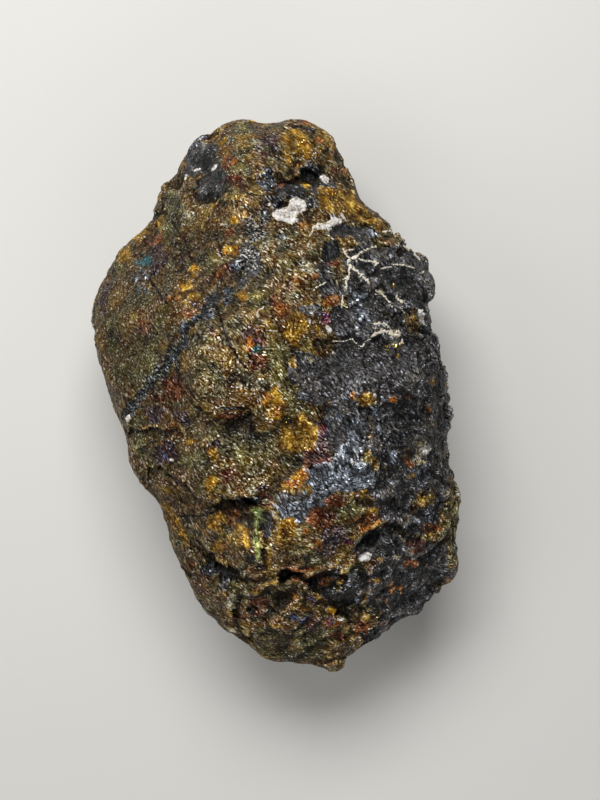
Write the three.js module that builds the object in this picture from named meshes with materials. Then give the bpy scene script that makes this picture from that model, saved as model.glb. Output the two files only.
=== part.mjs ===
// A hand-sized lump of peacock ore: massive copper sulphide, broken all over. It grew as one mass, so it
// is one solid. It lies on its back: the broad face looks up (+Z), the narrow crown end points along +Y,
// and the lump stands on one small flat spot at z = 0.
import * as THREE from "three";
import { ImprovedNoise } from "three/addons/math/ImprovedNoise.js";
import { mergeVertices } from "three/addons/utils/BufferGeometryUtils.js";

// Driving dimensions, in millimetres. The outline below gives the length (Y) and the width (X).
const faceRise = 34; // from the girdle up to the top of the face
const backDepth = 33; // from the girdle down to the lowest point of the back, before the flat spot is cut
const flatSpotDepth = 29; // the back is cut off flat this far under the girdle
const meshDetail = 19; // the ball that is shaped has 20 * (meshDetail + 1)^2 triangles

// How full the lump is: 1 is an ellipsoid, and less is boxier.
const girdleFullness = 0.7;
const faceFullness = 0.74;
const backFullness = 0.9;

// How high the face stands, and how deep the back hangs, along the length: [y, share of the full height].
const faceProfile = [[-76, 0.6], [-58, 0.72], [-38, 0.93], [-12, 1], [22, 0.98], [48, 0.9], [76, 0.8]];
const backProfile = [[-76, 0.5], [-45, 0.75], [-15, 0.95], [15, 1], [45, 0.96], [76, 0.9]];

// The girdle: the lump's widest line, seen from above, as [x, y]. It runs anticlockwise from the crown.
const girdle = [
  [6.5, 75.5], [1, 74], [-4, 73.5], [-8, 75], [-16, 72], [-22, 68.5], [-25.5, 63], [-30.5, 56.5],
  [-33.5, 50], [-34, 46], [-41, 41.5], [-46, 33.5], [-49.5, 25.5], [-49, 14.5], [-45.5, 2.5],
  [-40.5, -9.5], [-38, -20.5], [-31.5, -28], [-27.5, -40.5], [-21.5, -53.5], [-14.5, -63.5],
  [-8.5, -67], [-4, -71.5], [7, -72.5], [14.5, -75.5], [20, -72], [29.5, -67], [40, -59.5],
  [47.5, -51.5], [49, -46.5], [48, -36], [49.5, -28.5], [46.5, -17], [46.5, -4], [44.5, 9],
  [40.5, 22], [42.5, 30], [38.5, 38.5], [31.5, 45], [23.5, 51.5], [20.5, 60], [13.5, 72.5],
];

// The girdle rises and falls as it runs round the lump, like the edge of any broken stone.
const girdleWaves = [
  { rise: 4.5, perTurn: 2, start: 0.6 },
  { rise: 3, perTurn: 3, start: 2 },
  { rise: 1.5, perTurn: 7, start: 0 },
];

// Swells and hollows of the face: where they are, how far they reach along and across, how they are
// turned, and how far they rise (or sink, where negative).
const swells = [
  { name: "crown knob", at: [9, 65], reach: [9, 8], turn: 0, rise: 3 },
  { name: "crown shoulder", at: [-16, 48], reach: [12, 14], turn: 0, rise: 1.5 },
  { name: "left lobe", at: [-34, 22], reach: [14, 19], turn: -10, rise: 3 },
  { name: "middle lobe", at: [-11, 9], reach: [15, 12], turn: 30, rise: 3 },
  { name: "lower left lobe", at: [-24, -15], reach: [14, 10], turn: -25, rise: 2.5 },
  { name: "right shoulder", at: [30, 30], reach: [13, 12], turn: -40, rise: 3.5 },
  { name: "right flank", at: [33, -22], reach: [10, 15], turn: 0, rise: 2 },
  { name: "lower right corner", at: [38, -44], reach: [10, 10], turn: 0, rise: 3 },
  { name: "left knuckle", at: [-14.5, -38], reach: [8, 9], turn: 15, rise: 3.5 },
  { name: "right knuckle", at: [8, -38], reach: [12, 9], turn: 0, rise: 3 },
  { name: "foot knob", at: [8, -64], reach: [14, 7], turn: -15, rise: 4 },
  { name: "quartz pocket", at: [3, 53.5], reach: [7, 5], turn: 20, rise: -2.5 },
  { name: "dark pit", at: [-19, 58], reach: [5, 8], turn: 10, rise: -1.5 },
  { name: "dark plane", at: [22, 6], reach: [12, 12], turn: 0, rise: -1.5 },
  { name: "flank dip", at: [32, -6], reach: [8, 5], turn: 0, rise: -1.5 },
  { name: "undercut hole", at: [-9, -31.5], reach: [7, 4], turn: -8, rise: -3.5 },
  { name: "foot recess", at: [9, -55], reach: [14, 4.5], turn: -8, rise: -1.8 },
  { name: "corner recess", at: [25, -40], reach: [8, 4], turn: 0, rise: -1.5 },
];

// Ledges of the face: walked from first to last point, the surface drops on the right of the path and
// then climbs back over its reach.
const ledges = [
  { name: "arc under the middle lobe", drop: 2.2, reach: 9,
    path: [[-30, 6.5], [-26, 1.5], [-20.5, -2], [-14, -4.5], [-8.5, -3.5], [-4, -0.5]] },
  { name: "lip over the hole", drop: 2.5, reach: 9,
    path: [[-31, -22], [-23.5, -25.5], [-16.5, -28], [-10, -28], [-4.5, -29.5]] },
  { name: "left knuckle's lower edge", drop: 3, reach: 10,
    path: [[-22, -34], [-19.5, -41], [-16.5, -45.5], [-10, -48], [-5.5, -49.5]] },
  { name: "lip over the foot", drop: 3.2, reach: 10,
    path: [[-3, -50.5], [3.5, -49], [11.5, -50], [18.5, -53.5], [24, -54]] },
  { name: "corner step", drop: 2.2, reach: 8, path: [[20.5, -40], [26.5, -36], [33.5, -36.5], [42, -38.5]] },
];
const ledgeRun = 2.8; // half the width over which a ledge falls
const ledgeEnds = 0.2; // the share of a ledge, at each end, over which it dies out
const reliefFade = [0.1, 0.6]; // the face's relief grows from none to full between these slopes of the ball

// Flat breaks: each is a plane that bites this deep into the lump, from the side that it faces.
const breaks = [
  { name: "crown slope", towards: [0.2, 0.42, 0.88], bite: 4.5 },
  { name: "upper left bevel", towards: [-0.6, 0.45, 0.66], bite: 6 },
  { name: "left slope", towards: [-0.6, -0.1, 0.79], bite: 5.5 },
  { name: "upper right bevel", towards: [0.45, 0.45, 0.77], bite: 5.5 },
  { name: "right slope", towards: [0.5, -0.12, 0.86], bite: 4.5 },
  { name: "lower right bevel", towards: [0.4, -0.5, 0.77], bite: 5.5 },
  { name: "lower left bevel", towards: [-0.62, -0.48, 0.62], bite: 4.5 },
  { name: "foot slope", towards: [0.05, -0.6, 0.8], bite: 4.5 },
  { name: "back crown", towards: [-0.3, 0.5, -0.81], bite: 7 },
  { name: "back upper right", towards: [0.68, 0.42, -0.6], bite: 8 },
  { name: "back right", towards: [0.7, -0.2, -0.68], bite: 9 },
  { name: "back lower right", towards: [0.5, -0.62, -0.6], bite: 8 },
  { name: "back foot", towards: [-0.1, -0.5, -0.86], bite: 7 },
  { name: "back lower left", towards: [-0.7, -0.42, -0.58], bite: 8 },
  { name: "back left", towards: [-0.62, 0.2, -0.76], bite: 9 },
];
const breakSoftness = 0.9; // how far the corners of the breaks are worn round

// Roughness of the whole surface, coarse to fine: the wave length and the height of each layer.
const roughness = [
  { wave: 34, height: 3.4 },
  { wave: 15, height: 1.9 },
  { wave: 7, height: 1.0 },
];
const sidewaysRoughness = 0.35; // the share of it that may move the girdle in or out
const layerShift = 17.3; // moves each layer to a part of the noise of its own

const noise = new ImprovedNoise();
const smooth = (low, high, value) => THREE.MathUtils.smoothstep(value, low, high);

// The girdle as radius against angle, so that any direction can be looked up.
const girdleCurve = new THREE.CatmullRomCurve3(
  girdle.map(([x, y]) => new THREE.Vector3(x, y, 0)), true, "centripetal",
);
const girdleRays = girdleCurve
  .getPoints(720)
  .map((p) => ({ angle: Math.atan2(p.y, p.x), radius: Math.hypot(p.x, p.y) }))
  .sort((a, b) => a.angle - b.angle);

function girdleRadius(angle) {
  const next = girdleRays.findIndex((ray) => ray.angle >= angle);
  const after = girdleRays[Math.max(next, 0)];
  const before = girdleRays.at(next > 0 ? next - 1 : -1);
  const turn = (to, from) => (to - from + 2 * Math.PI) % (2 * Math.PI);
  const share = turn(angle, before.angle) / Math.max(turn(after.angle, before.angle), 1e-9);
  return THREE.MathUtils.lerp(before.radius, after.radius, Math.min(share, 1));
}

// Distance from a point to a path, which side of it the point is on (+1 is right), and the share along it.
function nearestOnPath(x, y, path) {
  let best = { distance: Infinity, side: 0, along: 0 };
  for (let i = 0; i + 1 < path.length; i++) {
    const [ax, ay] = path[i];
    const [dx, dy] = [path[i + 1][0] - ax, path[i + 1][1] - ay];
    const share = THREE.MathUtils.clamp(((x - ax) * dx + (y - ay) * dy) / (dx * dx + dy * dy), 0, 1);
    const [ox, oy] = [x - ax - share * dx, y - ay - share * dy];
    const distance = Math.hypot(ox, oy);
    if (distance < best.distance)
      best = { distance, side: Math.sign(dy * ox - dx * oy), along: (i + share) / (path.length - 1) };
  }
  return best;
}

function swellHeight(x, y, { at, reach, turn, rise }) {
  const angle = THREE.MathUtils.degToRad(turn);
  const [dx, dy] = [x - at[0], y - at[1]];
  const along = (dx * Math.cos(angle) + dy * Math.sin(angle)) / reach[0];
  const across = (dy * Math.cos(angle) - dx * Math.sin(angle)) / reach[1];
  return rise * Math.exp(-((along ** 2 + across ** 2) ** 1.3));
}

function ledgeHeight(x, y, { path, drop, reach }) {
  const { distance, side, along } = nearestOnPath(x, y, path);
  const fall = smooth(-ledgeRun, ledgeRun, side * distance);
  const ends = smooth(0, ledgeEnds, along) * smooth(0, ledgeEnds, 1 - along);
  return -drop * fall * ends * Math.exp(-((distance / reach) ** 2));
}

// What the face's own shapes add to its height at [x, y].
function faceRelief(x, y) {
  const shapes = swells.reduce((sum, swell) => sum + swellHeight(x, y, swell), 0);
  return ledges.reduce((sum, ledge) => sum + ledgeHeight(x, y, ledge), shapes);
}

// Reads a profile of [place, share] pairs between its points.
function shareAt(profile, place) {
  const next = Math.max(profile.findIndex(([at]) => at >= place), 1);
  const [[from, low], [to, high]] = [profile[next - 1], profile[next]];
  return THREE.MathUtils.lerp(low, high, smooth(from, to, place));
}

function girdleHeight(angle) {
  const wave = ({ rise, perTurn, start }) => rise * Math.sin(perTurn * angle + start);
  return girdleWaves.reduce((sum, each) => sum + wave(each), 0);
}

// The smooth lump: a point of the unit sphere, moved out to the girdle and up to the face or down the back.
function lumpPoint(direction) {
  const angle = Math.atan2(direction.y, direction.x);
  const spread = Math.hypot(direction.x, direction.y);
  const radius = girdleRadius(angle) * spread ** girdleFullness;
  const [x, y] = [radius * Math.cos(angle), radius * Math.sin(angle)];
  const isFace = direction.z > 0;
  const lift = Math.abs(direction.z) ** (isFace ? faceFullness : backFullness);
  const height = isFace ? faceRise * shareAt(faceProfile, y) : -backDepth * shareAt(backProfile, y);
  return new THREE.Vector3(x, y, height * lift + girdleHeight(angle) * (1 - lift));
}

// Moves what lies past each plane back onto it, with the corner worn a little round.
function breakOff(points) {
  for (const { towards, bite } of breaks) {
    const normal = new THREE.Vector3(...towards).normalize();
    const reach = points.map((point) => point.dot(normal));
    const plane = reach.reduce((most, value) => Math.max(most, value), 0) - bite;
    for (const [i, point] of points.entries()) {
      const past = (reach[i] - plane) / breakSoftness;
      point.addScaledVector(normal, -breakSoftness * Math.log1p(Math.exp(past)));
    }
  }
}

function roughen(point, outwards) {
  let height = 0;
  for (const [layer, { wave, height: size }] of roughness.entries()) {
    const shift = layerShift * (layer + 1);
    height += size * noise.noise(point.x / wave + shift, point.y / wave, point.z / wave - shift);
  }
  point.addScaledVector(outwards, height);
}

// Shapes a ball of even triangles into the lump and stands it on its flat spot.
function makeLump() {
  const ball = new THREE.IcosahedronGeometry(1, meshDetail);
  ball.deleteAttribute("normal");
  ball.deleteAttribute("uv");
  const geometry = mergeVertices(ball, 1e-5);
  const position = geometry.getAttribute("position");
  const directions = Array.from({ length: position.count }, (_, i) =>
    new THREE.Vector3().fromBufferAttribute(position, i).normalize());
  const points = directions.map((direction) => {
    const point = lumpPoint(direction);
    point.z += faceRelief(point.x, point.y) * smooth(...reliefFade, direction.z);
    return point;
  });
  breakOff(points);
  for (const [i, point] of points.entries()) {
    const { x, y, z } = directions[i];
    roughen(point, new THREE.Vector3(sidewaysRoughness * x, sidewaysRoughness * y, z));
    position.setXYZ(i, point.x, point.y, Math.max(point.z, -flatSpotDepth));
  }
  geometry.computeBoundingBox();
  const { min, max } = geometry.boundingBox;
  geometry.translate(-(min.x + max.x) / 2, -(min.y + max.y) / 2, -min.z);
  geometry.computeVertexNormals();
  return geometry;
}

const ore = new THREE.Mesh(
  makeLump(),
  new THREE.MeshStandardMaterial({ color: 0x5c4a2c, roughness: 0.5, metalness: 0.7 }),
);
ore.name = "ore_lump";

const part = new THREE.Group();
part.add(ore);

export default part;
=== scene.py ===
import math

import bmesh
import bpy
import numpy as np
from mathutils import Euler, Matrix, Vector, noise
from mathutils.bvhtree import BVHTree


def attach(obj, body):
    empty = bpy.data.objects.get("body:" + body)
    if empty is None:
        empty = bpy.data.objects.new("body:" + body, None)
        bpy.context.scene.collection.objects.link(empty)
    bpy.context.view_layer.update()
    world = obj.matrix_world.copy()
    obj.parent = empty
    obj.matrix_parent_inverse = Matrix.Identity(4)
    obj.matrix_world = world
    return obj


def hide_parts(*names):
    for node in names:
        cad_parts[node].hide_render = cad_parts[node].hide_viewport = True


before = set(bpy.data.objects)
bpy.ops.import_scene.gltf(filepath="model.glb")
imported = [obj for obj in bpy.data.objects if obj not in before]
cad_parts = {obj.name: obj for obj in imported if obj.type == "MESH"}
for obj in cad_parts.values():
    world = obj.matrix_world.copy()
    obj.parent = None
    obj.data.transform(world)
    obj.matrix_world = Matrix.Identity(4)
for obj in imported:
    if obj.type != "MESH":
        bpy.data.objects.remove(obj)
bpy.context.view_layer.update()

mm = 0.001
print("frame loaded")


def srgb(hexColour):  # hex text to a linear colour
    parts = [int(hexColour[i:i + 2], 16) / 255 for i in (1, 3, 5)]
    return [c / 12.92 if c <= 0.04045 else ((c + 0.055) / 1.055) ** 2.4 for c in parts] + [1]


# adds a node: "inputs" are fixed values, "links" are sockets of other nodes, the rest are its settings
def addNode(tree, kind, links=None, inputs=None, **settings):
    node = tree.nodes.new("ShaderNode" + kind)
    for name, value in settings.items():
        setattr(node, name, value)
    for name, value in (inputs or {}).items():
        node.inputs[name].default_value = value
    for name, socket in (links or {}).items():
        tree.links.new(socket, node.inputs[name])
    return node


studio = {
    "cameraAt": (6.4, -1.6, 449),  # mm, straight over the lump
    "rimHeight": 29,  # mm
    "lens": 70,
    "lamps": {  # place and size in mm, power in watts; the key stands past the crown end
        "key": {"at": (-60, 330, 520), "size": (420, 300), "power": 3.7},
        "fill": {"at": (-420, -60, 420), "size": (400, 400), "power": 0.7},
        "edge": {"at": (120, -420, 320), "size": (300, 300), "power": 0.5},
    },
    "aim": (0, 0, 30),
    "floorSize": 3000, "floorColour": "#d9d7d2",
    "worldColour": "#c4c8cc", "worldStrength": 0.16,
}


def addLamp(name, lamp):
    light = bpy.data.lights.new(name, "AREA")
    light.shape = "RECTANGLE"
    light.size, light.size_y = lamp["size"][0] * mm, lamp["size"][1] * mm
    light.energy = lamp["power"]
    holder = bpy.data.objects.new(name, light)
    holder.location = Vector(lamp["at"]) * mm
    towards = Vector(studio["aim"]) * mm - holder.location
    holder.rotation_euler = towards.to_track_quat("-Z", "Y").to_euler()
    bpy.context.scene.collection.objects.link(holder)


def addCamera(scene):
    data = bpy.data.cameras.new("camera")
    data.lens = studio["lens"]
    data.clip_start, data.clip_end = 0.01, 20
    camera = bpy.data.objects.new("camera", data)
    camera.location = Vector(studio["cameraAt"]) * mm
    scene.collection.objects.link(camera)
    scene.camera = camera


def addFloor(scene):
    bm = bmesh.new()
    bmesh.ops.create_grid(bm, x_segments=1, y_segments=1, size=studio["floorSize"] * mm / 2)
    mesh = bpy.data.meshes.new("floor")
    bm.to_mesh(mesh)
    bm.free()
    floor = bpy.data.objects.new("floor", mesh)
    scene.collection.objects.link(floor)
    paint = bpy.data.materials.new("matt_paint")
    paint.use_nodes = True
    shader = paint.node_tree.nodes["Principled BSDF"]
    shader.inputs["Base Color"].default_value = srgb(studio["floorColour"])
    shader.inputs["Roughness"].default_value = 0.7
    mesh.materials.append(paint)


def makeStudio():
    scene = bpy.context.scene
    scene.view_settings.view_transform = "Standard"
    addCamera(scene)
    for name, lamp in studio["lamps"].items():
        addLamp(name, lamp)
    world = bpy.data.worlds.new("studio")
    world.use_nodes = True
    background = world.node_tree.nodes["Background"]
    background.inputs["Color"].default_value = srgb(studio["worldColour"])
    background.inputs["Strength"].default_value = studio["worldStrength"]
    scene.world = world
    addFloor(scene)
    print("studio made")


# Where each mineral lies, in mm on the level of the rim, as the camera sees it. A spot is (x, y, half width,
# half height, share of the grains), and a turn in degrees where it has one. "everywhere" is its share
# outside the spots, which comes and goes in clouds. "shade" says what picks a place's colour, if not the
# slow drift.
minerals = {
    "olive": {  # grey-green tarnish
        "everywhere": 0.28, "soft": 0.32,
        "face": [
            (-44, 17, 2.5, 6, 0.7), (-30.5, 19, 3, 6, 0.7), (-33, 11, 4, 4, 0.8), (-42, 6, 3, 6, 0.6),
            (-28.5, 48, 4, 5, 0.95), (-28, 42.5, 2, 2.5, 0.7), (-18, 35, 2, 3.4, 0.95),
            (-8.5, 72.2, 3.4, 2, 0.85), (-7, 67, 3, 3, 0.6), (0.5, 72.8, 1.6, 1.2, 0.6),
            (2.5, 36, 3, 6, 0.6), (-2, 24, 3, 4, 0.5), (-18, 3, 4, 6, 0.7), (-12, 14, 3, 4, 0.5),
            (-8, -13, 7, 5, 0.95), (3, -18, 4.5, 2, 1), (-16, -11, 4, 3, 0.6), (-36.5, -7, 2.4, 2, 0.7),
            (-36.5, -14.5, 2, 3, 0.85), (-22, -19, 6, 4, 0.6), (20, -31.5, 3.2, 2.4, 0.95),
            (9, -66, 5, 3.4, 0.85), (6.5, -70.5, 5, 1.6, 0.85), (-3, -66, 5, 4, 0.6),
            (-15, -36, 4, 3, 0.5), (10, -45, 5, 2, 0.6), (22, -47.5, 2.6, 1.6, 0.85),
            (37, -54, 6, 5, 0.35), (46, -28, 2, 5, 0.6)],
        "back": [(-22, 20, 16, 18, 0.6, 20), (6, -30, 14, 9, 0.6)],
    },
    "plum": {  # dull purple-grey tarnish
        "everywhere": 0.06, "soft": 0.26,
        "face": [
            (-31.6, 38, 1.7, 3.6, 1), (-32.6, 34, 1.6, 2, 0.6), (-25.4, 36, 1.3, 1.3, 0.85),
            (-13.5, 34, 1.5, 1.6, 0.7), (-2, 67, 4.4, 2.6, 0.6, 65), (9.5, 71.7, 2.3, 0.9, 0.85),
            (-46.3, 26, 1.6, 5, 0.6), (-22, 24.6, 2, 1.2, 0.7), (-17.5, 17.5, 1.6, 1.6, 0.5),
            (-6, 15.5, 4, 3, 0.6), (-33, -6, 2.6, 2.6, 0.9), (-26, -5.5, 2.4, 1.3, 0.85),
            (-24.5, -7.5, 1.6, 1.3, 0.85), (-30, -16, 3.6, 3.6, 0.8), (-16, -13, 1.6, 1.6, 0.6),
            (12.8, -11, 2.6, 4.6, 0.9), (-3, -25.5, 2.2, 1.6, 0.85), (-9, -32.5, 1.4, 2, 0.6),
            (15.5, -37.5, 3.6, 2.6, 0.95), (15, -43, 4, 3, 0.5), (37.5, -40.5, 3, 2.2, 0.7),
            (10.5, -62.5, 3, 2, 0.7), (-5, -57, 2.6, 2.6, 0.6)],
        "back": [(-14, -22, 12, 8, 0.4), (22, 40, 8, 8, 0.5)],
    },
    "dark": {  # charcoal galena and copper sulphides: the right flank, and patches at the crown
        "everywhere": 0.01, "soft": 0.08, "torn": 0.5,
        "face": [
            (28, 30, 12, 11, 1), (39.5, 29, 6, 12, 0.9), (14, 31, 3, 6, 0.6), (17.5, 19, 3, 5, 1),
            (25, 18, 9, 8, 1), (18, 5, 13.5, 8, 1), (9.5, 5, 5, 6, 1), (10.5, 0, 5, 3.2, 1),
            (34, 8, 10, 14, 1), (36, -12, 11, 16, 1), (20, -8, 6, 9, 1), (16, -8, 3, 8, 0.9),
            (17.5, -22.5, 8.5, 4, 1), (5, -31, 5.4, 4.2, 1), (12, -28, 2.6, 3, 1), (33, -26, 8, 8, 1),
            (38, -34, 8, 4, 0.95), (28, -41, 6.5, 4, 1), (36, -50, 12, 12, 1), (21, -51.5, 3, 5, 1),
            (17, -54.5, 4, 2.4, 1), (33, -60, 9, 6, 1, 35), (44, -2, 5, 26, 1), (-20.4, 64, 5.2, 6, 1),
            (-18, 57.4, 4.4, 5, 1), (16, 64, 2.2, 2.6, 0.2), (9, 60.5, 3.6, 2.2, 1),
            (12.5, 56, 3.2, 2, 1), (3.5, 55.3, 4, 1.8, 1), (1, 51.8, 1.9, 1.8, 1),
            (-6.5, 34.2, 3, 2.4, 1), (-9, 30.6, 1.6, 1.3, 1), (14.7, 38.7, 2.6, 3, 1),
            (18, 44, 4, 2.2, 0.85), (23.5, 43.6, 4, 2.6, 1), (9, 23, 3.6, 1.6, 0.9),
            (-2.5, -35.5, 1.3, 3.2, 1), (-17.5, -47.5, 3, 1.5, 0.95), (-14, -50, 1.4, 2.6, 0.7),
            (-7.5, -45, 2.3, 1.7, 0.7), (-17.5, 25.6, 1.8, 1.8, 0.85), (-3.5, 29.5, 1.5, 1, 0.7),
            (-25, 13.6, 1.8, 0.9, 0.85)],
        "back": [(30, 10, 18, 34, 1, 5), (18, -42, 16, 12, 0.95, 20), (-8, 8, 6, 12, 0.85, -30)],
    },
    "silver": {  # bright cleavage faces in the dark ore
        "everywhere": 0, "soft": 0.15, "shade": "flake",
        "face": [
            (17.5, -22.5, 9, 4.4, 1), (24.5, -22.5, 1.4, 3.6, 1), (15, -20.8, 1.6, 0.8, 0.95),
            (12, -27, 1.8, 3, 0.8), (5, -31, 5, 4, 0.35), (2.5, -26.6, 1.2, 1, 0.9),
            (7.5, -26.6, 1.2, 0.9, 0.9), (2, -32.5, 0.9, 0.6, 1), (17.5, -6, 1.5, 1.3, 0.95),
            (20.7, -8.6, 1.7, 2.6, 0.95), (23, -8, 1.1, 1.6, 0.95), (29, -9.5, 1.9, 1.7, 0.85),
            (26, -4.5, 2.8, 1.3, 0.8), (37, -6.3, 1.4, 1.6, 0.95), (34.7, -11, 1.3, 1.1, 0.95),
            (33, -5.5, 0.7, 1.2, 0.85), (20.5, -12, 1.6, 2.3, 0.95), (18.7, -15.5, 2.7, 2.7, 0.95),
            (32, -17.5, 1, 2.2, 0.95), (38, -34.5, 1.2, 0.9, 1), (39, -22, 2.6, 3, 0.6),
            (42, -33, 2, 1.6, 0.5), (16, -49.5, 2, 0.9, 0.6), (21, -51, 1.8, 3, 0.55),
            (21.5, -56, 1.4, 1.6, 0.7), (22.5, 23, 5.4, 1.7, 0.7, -62), (24, 26, 0.8, 1.2, 0.85),
            (26, 36.5, 3, 0.8, 0.6), (27, 43.7, 1.8, 1.2, 0.7), (-20, 67, 2, 1.2, 0.6),
            (-2.5, 58, 2.6, 3.2, 0.8), (13, 58.4, 1.8, 1.4, 0.7, -35), (-36.5, 30.5, 2.4, 4.4, 0.4),
            (-25.5, 18, 1, 1.6, 0.7), (-18.5, 21.8, 1.7, 1.6, 0.9), (-14, 25.8, 2.1, 1.9, 1),
            (-12.8, 28.4, 1.9, 1.3, 0.9), (-10.6, 34.6, 1.3, 1.6, 0.85), (8, 7.8, 0.8, 0.6, 0.6)],
        "back": [(26, 20, 8, 6, 0.5, 30), (24, -36, 6, 5, 0.5)],
    },
    "gold": {  # fresh chalcopyrite
        "everywhere": 0.07, "soft": 0.3,
        "face": [
            (5, -11.8, 5, 4.6, 1), (3, -9.5, 2.2, 2.2, 1), (7.8, -13.4, 1.8, 1.9, 1),
            (-0.5, -3.4, 3.6, 3.2, 0.9), (1.2, -24.4, 1.6, 2.2, 0.65), (6, -22.6, 3, 2.4, 0.75),
            (30.2, 42, 2, 1, 0.4), (6, 67, 4.8, 6, 0.75), (7.2, 67.8, 3.4, 1, 1, -54),
            (13, 70, 3.6, 1.3, 0.75, -65), (15.8, 66.6, 1.1, 0.8, 0.8, -50), (16, 52.5, 4.7, 4.2, 1),
            (22, 49, 3.2, 3, 0.8), (26, 47.3, 3.6, 1.6, 0.75, -30), (28.2, 45.7, 1.8, 0.8, 0.8),
            (8, 57, 1.1, 1.3, 0.8), (-4, 73.6, 2.6, 1.2, 0.65), (-14, 66.5, 3.8, 1.7, 0.65, -67),
            (-10.5, 53, 3.6, 2.4, 0.45), (-17, 48, 2.4, 2.4, 0.45), (-11.5, 47.4, 1.7, 1.3, 0.55),
            (-41.5, 38, 1.9, 3, 0.8), (-35.5, 43.8, 3.6, 1.6, 0.7, 35), (-31.5, 46, 1.6, 1.2, 0.65),
            (-24.6, 29.6, 2.8, 2.6, 0.8), (-22.3, 33.5, 1.3, 3, 0.55), (-22.5, 26.6, 2.2, 1.4, 0.7),
            (-12.2, 38.8, 1.8, 1.2, 1), (-9, 27.6, 1.3, 2.7, 0.45), (6.5, 17, 3.8, 4.6, 0.7),
            (11.3, 17.3, 2.1, 1.1, 0.8, -65), (7.5, 12.6, 1.8, 1, 0.75), (4.5, 8, 1.2, 2.2, 0.45),
            (23.3, -0.8, 3.9, 1.8, 0.55), (43.4, 3.2, 1.4, 1.1, 0.8), (42.4, -8, 2, 1.8, 0.45),
            (31.5, 29.5, 0.7, 0.6, 0.75), (18, 42.6, 2.2, 0.9, 0.45), (-23.7, -13, 1.6, 1.3, 0.6),
            (-17, -16.6, 1.3, 1.7, 0.75), (-18, -24.6, 2.1, 2.3, 0.7), (-36.5, -7, 1.6, 1.3, 0.45),
            (-27.3, -35, 6.6, 1.2, 0.75, -62), (-14.5, -34.5, 3.6, 2.6, 0.55),
            (-9.5, -38, 4, 2, 0.7, -60), (-14, -41.5, 3.2, 2.6, 0.65), (-2, -43, 1.3, 6, 0.5),
            (3, -38.8, 2.8, 4.6, 0.9), (39.7, -28.7, 1.5, 2, 0.8), (40.5, -42, 1.8, 1, 0.45),
            (26, -31.5, 1.6, 2.2, 0.35), (27.5, -52, 2.8, 2.4, 0.35), (24, -59.8, 1.6, 1.2, 0.3),
            (14, -57.6, 5.6, 0.9, 0.55, -42), (20, -65, 3.4, 1, 0.45, -55), (35.5, -21.6, 1.6, 1, 0.4)],
        "back": [(-24, -10, 10, 8, 0.6, 30), (12, 40, 9, 7, 0.65, -20), (24, -20, 7, 9, 0.5)],
    },
    "orange": {  # copper-red tarnish on the gold
        "everywhere": 0.04, "soft": 0.32,
        "face": [
            (11, 68.8, 1.7, 1.2, 0.7), (8.5, 73.9, 2.6, 0.7, 0.7), (15.5, 60.8, 1.6, 0.8, 0.55),
            (18.7, 60.6, 0.9, 1, 0.8), (-12.5, 62.8, 2.4, 2.4, 0.65), (-7, 57, 2.5, 1, 0.3, 10),
            (6.7, 46.2, 1.7, 1.4, 0.75), (30.2, 41.9, 1.9, 1, 0.4), (-13, 43.8, 1.5, 1.3, 1),
            (-12.2, 38.6, 2, 1, 0.5), (-15, 33.5, 4, 3.4, 0.5), (-18, 30.5, 1.6, 1.6, 0.5),
            (-28.4, 26, 2.4, 1, 0.55), (-14.5, 19.5, 2.8, 0.5, 0.7, -70), (6.5, 29, 4.8, 3.6, 0.45),
            (8.6, 28.6, 2.2, 3.6, 0.55), (9.5, 31.5, 1.6, 1.6, 0.5), (14.5, 25, 2.6, 1.6, 0.8),
            (1.5, 24, 2.6, 3.4, 0.5), (4.6, 37.6, 1.6, 0.9, 0.4), (7, 20, 2, 1.6, 0.55),
            (-7, 13.4, 1, 2, 0.7), (-5, 17.5, 1.3, 0.6, 0.8), (20.7, -0.4, 1, 0.9, 0.75),
            (-0.5, -3.4, 3.6, 3.2, 0.65), (32.2, -1.6, 1.7, 1, 0.7), (36, -1, 1.7, 0.8, 0.55),
            (42, -3.4, 1.4, 1.8, 0.5), (-2, -1.5, 2.4, 1.6, 0.55), (1.2, -2.2, 1.2, 2, 0.55),
            (7, -21.8, 2.2, 2.2, 0.7), (5.6, -24, 3, 1.3, 0.65), (9.6, -15.3, 1.1, 0.9, 0.75),
            (36, -16.7, 1.2, 2.6, 0.75), (14, -31.6, 1.5, 1, 0.8), (24.6, -34.8, 2.8, 2.6, 1),
            (21, -34.6, 1.8, 1.3, 0.7), (8.3, -37, 1.5, 1.3, 0.8), (11.6, -41, 1.4, 1.7, 0.7),
            (-29.5, -13.2, 1.4, 0.7, 0.5), (-11.6, -32.8, 1.6, 1.6, 0.75), (-12, -22.5, 2.5, 2, 0.4),
            (32.5, -52.6, 2.6, 1.8, 0.8), (28.6, -56, 2, 1.1, 0.75), (5, -55, 0.8, 0.8, 0.8),
            (7, -58, 0.7, 1, 0.8), (15.6, -62, 2.4, 1.3, 0.7), (42.4, -35.6, 1.8, 0.7, 0.7)],
        "back": [(-20, 42, 8, 6, 0.5), (-6, -44, 10, 6, 0.5, 10)],
    },
    "rust": {  # red-brown
        "everywhere": 0.1, "soft": 0.34,
        "face": [
            (-10, 58, 4.6, 2.8, 0.36), (2, 57, 2, 1, 0.95), (-3.6, 63, 2, 2.8, 0.45),
            (-33, 41.6, 3, 1.7, 0.6, 30), (-23, 23, 3.2, 2.6, 0.35), (-36.4, 19, 3.2, 4.4, 0.28),
            (-40, 14, 3, 3.4, 0.3), (-27, 1, 5, 3, 0.6, -50), (-33, -1, 3, 3, 0.5),
            (15, 35.8, 2.2, 1, 0.9), (7.6, 33, 2, 0.9, 0.3), (-1, 25, 1.5, 2, 0.6),
            (13.6, 21, 1.2, 1.6, 0.7), (-5, 9, 3, 2, 0.7), (-12, -6.4, 4, 0.9, 1, -10),
            (13, -17, 3, 1.6, 1), (8, -18, 1.2, 1.6, 0.7), (15.7, -29, 2.5, 1.5, 1),
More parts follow.
